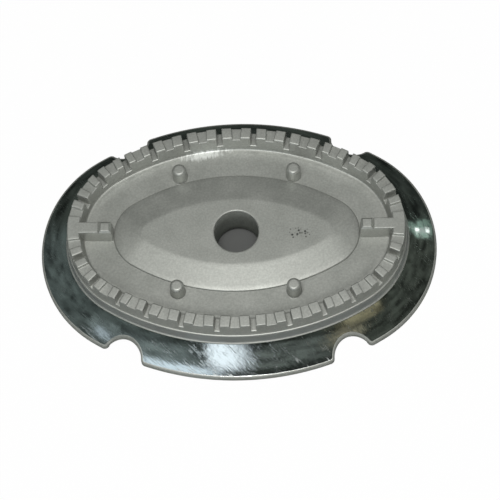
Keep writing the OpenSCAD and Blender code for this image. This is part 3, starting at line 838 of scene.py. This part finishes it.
# %% Sky
LOW_FRONT_LIGHT, LEFT_LIGHT = 2.6, 0.35
world = bpy.data.worlds.new("studio")
scene.world = world
world.use_nodes = True
world.cycles.sampling_method = "NONE"
tree = world.node_tree
sky = tree.nodes["Background"]
sky.inputs["Strength"].default_value = 1.0
toward = add(tree, "ShaderNodeSeparateXYZ", Vector=add(tree, "ShaderNodeTexCoord").outputs["Generated"])
behind = add(tree, "ShaderNodeMapRange", Value=toward.outputs["Y"], From_Min=-0.9, From_Max=0.9,
             To_Min=0.0, To_Max=1.0)
daylight = add(tree, "ShaderNodeMix", {"data_type": "RGBA"}, i0=behind.outputs["Result"],
               i6=linear("#c6c8c8"), i7=linear("#5c5e5c"))
seen = white_to_rays(tree)
tone = add(tree, "ShaderNodeMix", {"data_type": "RGBA"}, i0=seen, i6=daylight.outputs[2],
           i7=linear("#ffffff"))
tree.links.new(tone.outputs[2], sky.inputs["Color"])
side_shade = add(tree, "ShaderNodeMapRange", Value=toward.outputs["X"], From_Min=-0.35, From_Max=-0.85,
                 To_Min=1.0, To_Max=LEFT_LIGHT)
in_front = add(tree, "ShaderNodeMapRange", Value=toward.outputs["Y"], From_Min=-0.3, From_Max=-0.75)
low_down = add(tree, "ShaderNodeMapRange", Value=toward.outputs["Z"], From_Min=0.65, From_Max=0.35,
               To_Max=LOW_FRONT_LIGHT)
low_front = add(tree, "ShaderNodeMath", {"operation": "MULTIPLY"}, i0=in_front.outputs[0],
                i1=low_down.outputs[0])
light = add(tree, "ShaderNodeMath", {"operation": "ADD"}, i0=low_front.outputs[0], i1=side_shade.outputs[0])
strength = add(tree, "ShaderNodeMix", {"data_type": "FLOAT"}, i0=seen, i2=light.outputs[0], i3=1.0)
tree.links.new(strength.outputs[0], sky.inputs["Strength"])

# %% [markdown]
# Polished metal shows nothing of its own: it looks like what surrounds it. The real skirt mirrors a
# dim room with a tall window in front, a door, and a green curtain with daylight beside it. A dome
# round the part stands for that room. Soft-edged patches are laid on it by azimuth, counted from
# the front to the right, and elevation, and only reflections see it. Each end of the part looks at
# the room from a point of its own, so the azimuth is measured from near that end.

# %% A dim room that only reflections see
# azimuth, elevation, half width, half height, colour, strength, softness of the edge, lean
ROOM_WALLS = (
    (-70, 18, 52, 42, "#525b59", 1.0, 0.3, 0.0),      # pale wall on the left
    (-36, 32, 22, 14, "#747f7e", 1.0, 0.3, 0.0),      # lit part of it
    (14, 34, 14, 18, "#5f6662", 1.0, 0.3, 0.0),       # wall beside the window
    (76, 18, 46, 42, "#414640", 1.0, 0.3, 0.0),       # duller wall on the right
    (8, 54, 20, 5, "#2a2f2c", 1.0, 0.3, 0.0),         # dark rail over the window
    (42, 12, 11, 10, "#8f8a70", 1.0, 0.7, 0.0),       # wooden door
    (33, 30, 6, 10, "#86826f", 1.0, 0.6, 0.0),        # lit frame over it
    (119.2, 12, 5.0, 15, "#8fa99c", 1.0, 0.3, 0.2),   # green curtain
)
ROOM_WINDOWS = (
    (-5, 27, 4.8, 22, "#e9f4fb", 1.85, 0.5, 0.0),     # window in front
    (-24, 51, 16, 6, "#dcecf6", 1.5, 0.4, 0.0),       # fanlight over it
    (-50, 36, 3.5, 6, "#c3d2da", 1.0, 0.5, 0.0),      # small window on the left
    (118.4, 12, 1.3, 10, "#dfece6", 0.8, 0.4, 0.16),  # daylight between the curtains
    (118.4, 4, 0.8, 3.5, "#f4fbf7", 3.2, 0.4, 0.16),  # its lower bright spot
    (118.6, 20, 0.7, 2.5, "#f4fbf7", 3.2, 0.4, 0.16), # its upper bright spot
    (0, 95, 400, 36, "#c4c6c3", 1.0, 0.08, 0.0),      # ceiling
)
print("patches on the dome:", len(ROOM_WALLS) + len(ROOM_WINDOWS))


# %% The glow of the dome
def room_material():
    """The dome's glow: the walls, uneven with clutter, and the clean windows and ceiling over them."""
    material = bpy.data.materials.new("dim room")
    material.use_nodes = True
    material.cycles.emission_sampling = "NONE"
    tree = material.node_tree
    tree.nodes.remove(tree.nodes["Principled BSDF"])
    where = add(tree, "ShaderNodeTexCoord").outputs["Object"]
    at = add(tree, "ShaderNodeSeparateXYZ", Vector=add(
        tree, "ShaderNodeVectorMath", {"operation": "NORMALIZE"}, i0=where).outputs[0]).outputs

    def calc(operation, x, y=0.0):
        return add(tree, "ShaderNodeMath", {"operation": operation}, i0=x, i1=y).outputs[0]

    flat = add(tree, "ShaderNodeSeparateXYZ", Vector=where).outputs
    from_end = add(tree, "ShaderNodeMapRange", Value=flat["X"], From_Min=-0.12, From_Max=0.12,
                   To_Min=0.085, To_Max=-0.085).outputs["Result"]
    azimuth = calc("ARCTAN2", calc("ADD", flat["X"], from_end), calc("MULTIPLY", flat["Y"], -1.0))
    elevation = calc("ARCSINE", at["Z"])

    def patch(under, az, el, wide, high, colour, strength, soft, lean):
        """Lays a soft-edged patch over what is there; sizes are half sizes in degrees."""
        middle = calc("ADD", calc("MULTIPLY", elevation, lean), math.radians(az))
        across = calc("DIVIDE", calc("SUBTRACT", azimuth, middle), math.radians(wide))
        up = calc("DIVIDE", calc("SUBTRACT", elevation, math.radians(el)), math.radians(high))
        reach = calc("SQRT", calc("ADD", calc("POWER", calc("ABSOLUTE", across), 3.0),
                                  calc("POWER", calc("ABSOLUTE", up), 3.0)))
        inside = add(tree, "ShaderNodeMapRange", {"interpolation_type": "SMOOTHSTEP"}, Value=reach,
                     From_Min=1 + soft, From_Max=1 - soft, To_Min=0.0, To_Max=1.0).outputs["Result"]
        bright = [c * strength for c in linear(colour)[:3]] + [1.0]
        return add(tree, "ShaderNodeMix", {"data_type": "RGBA"}, i0=inside, i6=under, i7=bright).outputs[2]

    seen = linear("#333834")
    for wall in ROOM_WALLS:
        seen = patch(seen, *wall)
    clutter = add(tree, "ShaderNodeTexNoise", Vector=where, Scale=5.5, Detail=5.0).outputs["Fac"]
    uneven = add(tree, "ShaderNodeMapRange", Value=clutter, From_Min=0.38, From_Max=0.64, To_Min=0.4,
                 To_Max=1.9).outputs["Result"]
    seen = add(tree, "ShaderNodeVectorMath", {"operation": "SCALE"}, i0=seen, Scale=uneven).outputs[0]
    for window in ROOM_WINDOWS:
        seen = patch(seen, *window)
    glow = add(tree, "ShaderNodeEmission", Color=seen, Strength=1.0)
    tree.links.new(glow.outputs[0], tree.nodes["Material Output"].inputs["Surface"])
    return material


# %% The dome
def only_reflections(obj):
    """Hides an object from everything but reflections."""
    obj.visible_camera = obj.visible_diffuse = obj.visible_shadow = False
    obj.visible_transmission = obj.visible_volume_scatter = False


ROOM_R = 1.6
bm = bmesh.new()
bmesh.ops.create_uvsphere(bm, u_segments=48, v_segments=32, radius=ROOM_R)
bmesh.ops.bisect_plane(bm, geom=bm.verts[:] + bm.edges[:] + bm.faces[:], plane_co=(0, 0, 0.15 * MM),
                       plane_no=(0, 0, -1), clear_outer=True)
bmesh.ops.holes_fill(bm, edges=[e for e in bm.edges if e.is_boundary], sides=0)
room_mesh = bpy.data.meshes.new("room")
bm.to_mesh(room_mesh)
bm.free()
room = new_object("room", room_mesh, (room_material(),))
only_reflections(room)

# %% [markdown]
# Two lamps stand over the part. A softbox hangs just in front of its middle and models the chamber.
# A small lamp near the camera lights the walls that face it. It hangs a little back from the camera,
# because right beside it it would be mirrored as a hard white line along the front rim.

# %% Lamps
def lamp(name, at, size, power):
    """A round area lamp at a place in metres, aimed at the part."""
    data = bpy.data.lights.new(name, "AREA")
    data.shape, data.size, data.energy = "DISK", size, power
    obj = bpy.data.objects.new(name, data)
    scene.collection.objects.link(obj)
    aim = (Vector((0, 0, 0.03)) - Vector(at)).to_track_quat("-Z", "Y")
    obj.matrix_world = Matrix.Translation(at) @ aim.to_matrix().to_4x4()
    return obj


lamp("softbox_overhead", (0.0, -0.15, 0.75), 0.33, 2.3)
lamp("lamp_near_camera", (-0.05, -0.44, 1.3), 0.12, 1.5)

# %% [markdown]
# ## Camera
# The photograph was taken from about 66 degrees above the horizon and 1.13 m away, with the part
# turned by six degrees and the camera rolled by almost seven. The angles were worked out from the
# oval's own proportions.

# %% Camera
ELEVATION, YAW, ROLL = math.radians(66.43), math.radians(-6.26), math.radians(6.60)
CENTRE_IN_CAMERA = Vector((-6.91, -0.22, 1128.5)) * MM     # right, down, forward
SENSOR, FOCAL = 36.0, 133.54
look_down = Matrix(((1, 0, 0), (0, -math.sin(ELEVATION), -math.cos(ELEVATION)),
                    (0, math.cos(ELEVATION), -math.sin(ELEVATION))))
rolled = Matrix(((math.cos(ROLL), math.sin(ROLL), 0), (-math.sin(ROLL), math.cos(ROLL), 0), (0, 0, 1)))
to_camera = rolled @ look_down @ Matrix.Rotation(YAW, 3, "Z")
camera_data = bpy.data.cameras.new("camera")
camera_data.sensor_width, camera_data.lens = SENSOR, FOCAL
camera_data.clip_end = 20.0
camera = bpy.data.objects.new("camera", camera_data)
scene.collection.objects.link(camera)
turn = to_camera.transposed() @ Matrix.Diagonal((1, -1, -1))
camera.matrix_world = Matrix.Translation(-(to_camera.transposed() @ CENTRE_IN_CAMERA)) @ turn.to_4x4()
scene.camera = camera
scene.view_settings.view_transform = "Standard"
print("camera at", [round(v, 3) for v in camera.matrix_world.translation])

# %% [markdown]
# Last, every piece rides on the part's one body and stands for the one CAD node.

# %% Tie the pieces to the frame
for piece in (casting_skin, crown_blocks, round_posts, bridges):
    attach(piece, "root")
    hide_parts(NODE)
    print(piece.name, sum(len(p.vertices) - 2 for p in piece.data.polygons), "triangles")
